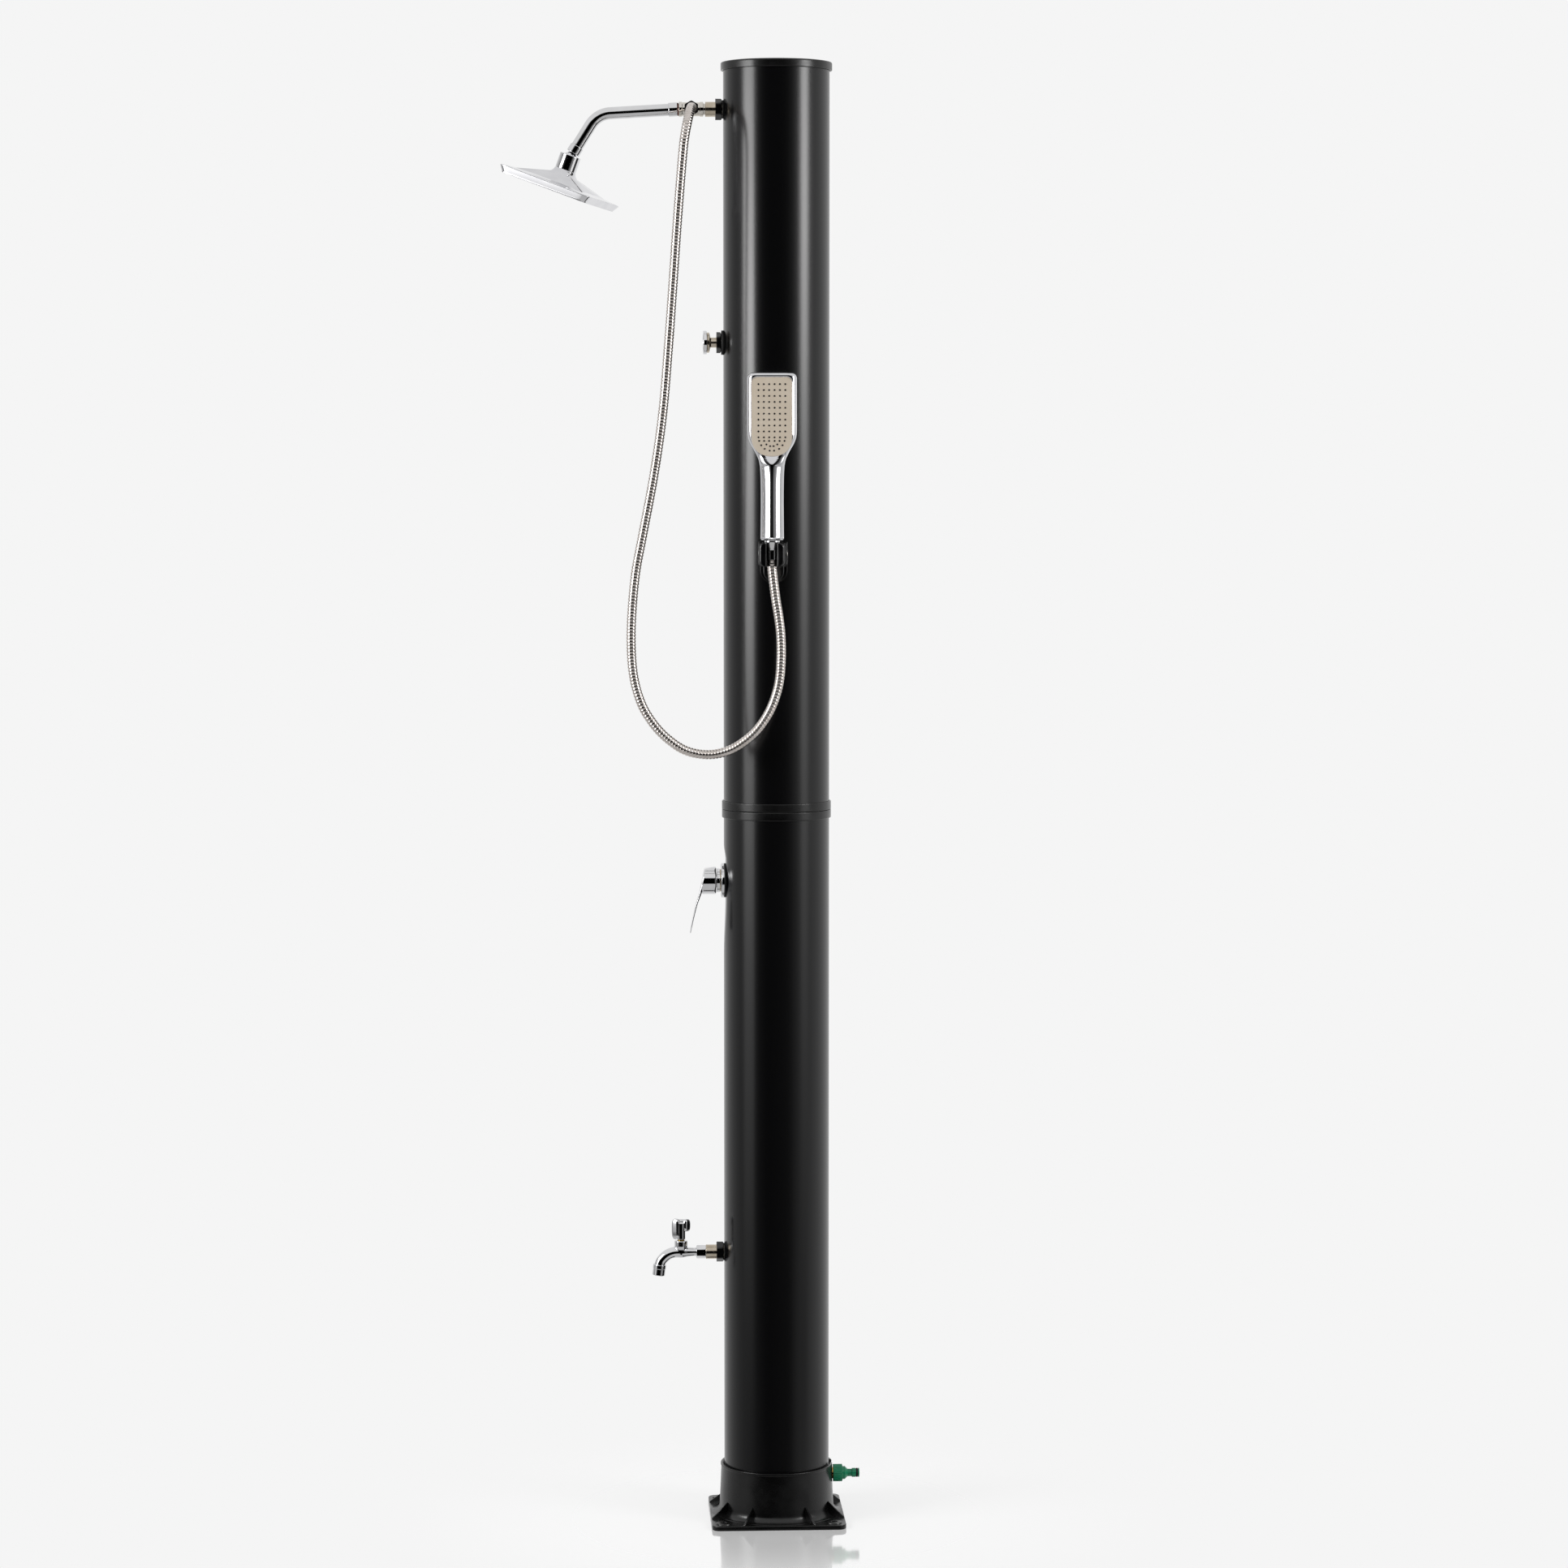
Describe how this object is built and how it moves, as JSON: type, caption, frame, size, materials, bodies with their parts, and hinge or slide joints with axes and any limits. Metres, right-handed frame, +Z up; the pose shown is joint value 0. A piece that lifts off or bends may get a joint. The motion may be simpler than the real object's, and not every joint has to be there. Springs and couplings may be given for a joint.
{
  "type": "solar shower",
  "caption": "Free-standing black column solar shower with a square rain head on a bent arm, a hand shower on a metal hose, a lever mixer and a foot tap.",
  "frame": {"origin": "on the column's axis, at the underside of the foot, on the ground", "axes": "+Z up along the column; -X the side of the shower arm, mixer and foot tap; +X the side of the garden-hose inlet; -Y the side of the hand shower"},
  "size_m": [0.5323, 0.2392, 2.17],
  "materials": {
    "black_pvc": "satin",
    "black_abs": "gloss",
    "black_rubber": "matte",
    "red_rubber": "matte",
    "chrome": "polished",
    "chrome_plated_plastic": "polished",
    "nickel": "polished",
    "brass": "satin",
    "stainless_steel": "polished",
    "green_plastic": "satin",
    "beige_plastic": "satin",
    "grey_plastic": "satin",
    "white_enamel": "satin",
    "white_plastic": "satin",
    "clear_lens": "polished",
    "pex_pipe": "satin"
  },
  "bodies": {
    "column": {"base_foot": "black_abs", "tank_bottom_cap": "black_abs", "lower_tank": "black_pvc", "lower_flange": "black_abs", "flange_seal": "black_rubber", "upper_flange": "black_abs", "upper_tank": "black_pvc", "top_cap": "black_abs", "cold_feed_pipe": "pex_pipe", "hot_pickup_pipe": "pex_pipe", "riser_pipe": "pex_pipe", "outlet_washer": "black_rubber", "outlet_lock_nut": "black_abs", "outlet_nipple": "nickel", "outlet_back_nut": "black_abs", "diverter_tee": "nickel", "arm_o_ring": "red_rubber", "arm_rear_ferrule": "chrome", "shower_arm": "chrome", "arm_front_ferrule": "chrome", "swivel_ball": "chrome", "thermometer_gasket": "black_rubber", "thermometer_nut": "black_abs", "thermometer_case": "nickel", "thermometer_dial": "white_enamel", "thermometer_lens": "clear_lens", "thermometer_bezel": "chrome", "mixer_gasket": "black_rubber", "mixer_body": "brass", "mixer_flange": "chrome", "mixer_ring": "chrome", "mixer_cartridge": "grey_plastic", "tap_washer": "black_rubber", "tap_lock_nut": "black_abs", "tap_nipple": "nickel", "tap_back_nut": "black_abs", "tap_body": "chrome", "tap_aerator": "chrome", "inlet_nipple": "brass", "inlet_adaptor": "green_plastic", "inlet_o_ring": "black_rubber", "holder_base": "black_abs", "holder_pin": "stainless_steel", "hose_tee_nut": "black_abs", "hose": "stainless_steel"},
    "diverter": {"diverter_knob": "nickel"},
    "swivel_seal": {"swivel_seal_cup": "grey_plastic"},
    "swivel_backing": {"swivel_backing_cup": "grey_plastic"},
    "rain_head": {"head_nut": "chrome", "head_shell": "chrome_plated_plastic", "nozzle_plate": "grey_plastic"},
    "needle": {"thermometer_pointer": "black_abs"},
    "mixer_rotor": {"mixer_spindle": "white_plastic"},
    "lever": {"mixer_lever": "chrome"},
    "tap_knob": {"tap_spindle": "brass", "tap_handle": "chrome"},
    "cradle": {"holder_cradle": "black_abs"},
    "hand_shower": {"handset_body": "chrome_plated_plastic", "handset_face": "beige_plastic", "hose_cone_nut": "chrome"}
  },
  "joints": [
    {"name": "diverter_turn", "type": "hinge", "parent": "column", "child": "diverter", "pos_m": [-0.1258, 0, 2.1015], "axis": [0, 1, 0], "range_deg": [0, 90]},
    {"name": "head_tilt", "type": "hinge", "parent": "column", "child": "swivel_seal", "pos_m": [-0.30444, 0, 2.02879], "axis": [0, 1, 0], "range_deg": [-2, 26]},
    {"name": "head_roll", "type": "hinge", "parent": "swivel_seal", "child": "swivel_backing", "pos_m": [-0.30444, 0, 2.02879], "axis": [0.8453, 0, -0.5344], "range_deg": [-14, 6]},
    {"name": "head_spin", "type": "hinge", "parent": "swivel_backing", "child": "rain_head", "pos_m": [-0.30444, 0, 2.02879], "axis": [0.342, -0.0688, 0.9372], "continuous": true},
    {"name": "thermometer_needle", "type": "hinge", "parent": "column", "child": "needle", "pos_m": [-0.1, 0, 1.76], "axis": [-1, 0, 0], "range_deg": [-135, 135], "stiffness_Nm_per_rad": 0.0002},
    {"name": "mixer_turn", "type": "hinge", "parent": "column", "child": "mixer_rotor", "pos_m": [-0.0905, 0, 0.962], "axis": [-1, 0, 0], "range_deg": [-45, 45]},
    {"name": "mixer_lift", "type": "hinge", "parent": "mixer_rotor", "child": "lever", "pos_m": [-0.0905, 0, 0.962], "axis": [0, 1, 0], "range_deg": [0, 16]},
    {"name": "tap_turn", "type": "hinge", "parent": "column", "child": "tap_knob", "pos_m": [-0.1433, 0, 0.402], "axis": [0, 0, 1], "range_deg": [0, 90]},
    {"name": "holder_tilt", "type": "hinge", "parent": "column", "child": "cradle", "pos_m": [-0.00944, -0.09805, 1.4505], "axis": [0.9954, -0.0958, 0], "range_deg": [-4, 35], "deforming": ["hose"]},
    {"name": "handset_lift", "type": "slide", "parent": "cradle", "child": "hand_shower", "axis": [0, 0, 1], "range_m": [0, 0.03], "deforming": ["hose"]}
  ]
}
